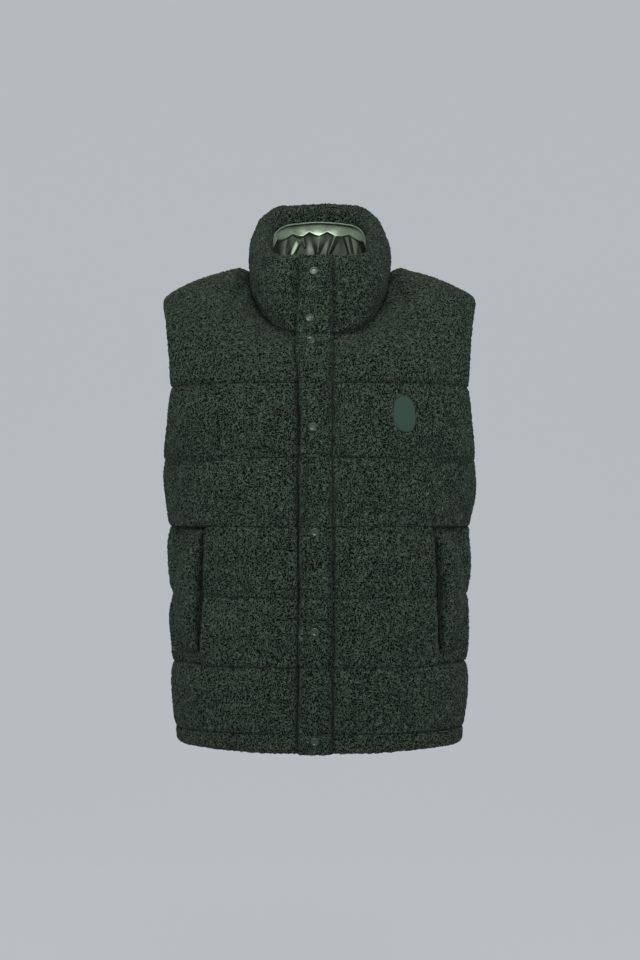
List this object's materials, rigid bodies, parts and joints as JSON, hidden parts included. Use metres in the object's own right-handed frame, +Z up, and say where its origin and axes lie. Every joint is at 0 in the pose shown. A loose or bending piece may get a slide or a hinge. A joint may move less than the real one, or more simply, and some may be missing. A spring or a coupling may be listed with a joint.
{
  "type": "puffer vest",
  "caption": "Quilted sleeveless puffer vest in dark teddy fleece, with a padded stand collar, a snap placket and side pockets, worn form with open neck, hem and armholes.",
  "frame": {"origin": "midway between the two shoulders, at the height of the plain inside of the shoulder seams, where the wearer carries the vest", "axes": "+X to the wearer's left, +Y from chest to back, +Z up"},
  "size_m": [0.421, 0.2695, 0.7371],
  "materials": {
    "teddy_fleece": "looped teddy fleece, matt",
    "satin_lining": "crinkled satin",
    "satin_piping": "satin",
    "snap_cap": "satin",
    "patch_cloth": "smooth, matt"
  },
  "bodies": {
    "root": {"front_right": "teddy_fleece", "front_left": "teddy_fleece", "back": "teddy_fleece", "collar_shell": "teddy_fleece", "collar_lining": "satin_lining", "collar_piping": "satin_piping", "placket": "teddy_fleece", "pocket_panel_right": "teddy_fleece", "pocket_strip_right": "teddy_fleece", "pocket_panel_left": "teddy_fleece", "pocket_strip_left": "teddy_fleece", "snap_1": "snap_cap", "snap_2": "snap_cap", "snap_3": "snap_cap", "snap_4": "snap_cap", "snap_5": "snap_cap", "snap_6": "snap_cap", "snap_7": "snap_cap", "chest_patch": "patch_cloth"}
  },
  "joints": []
}
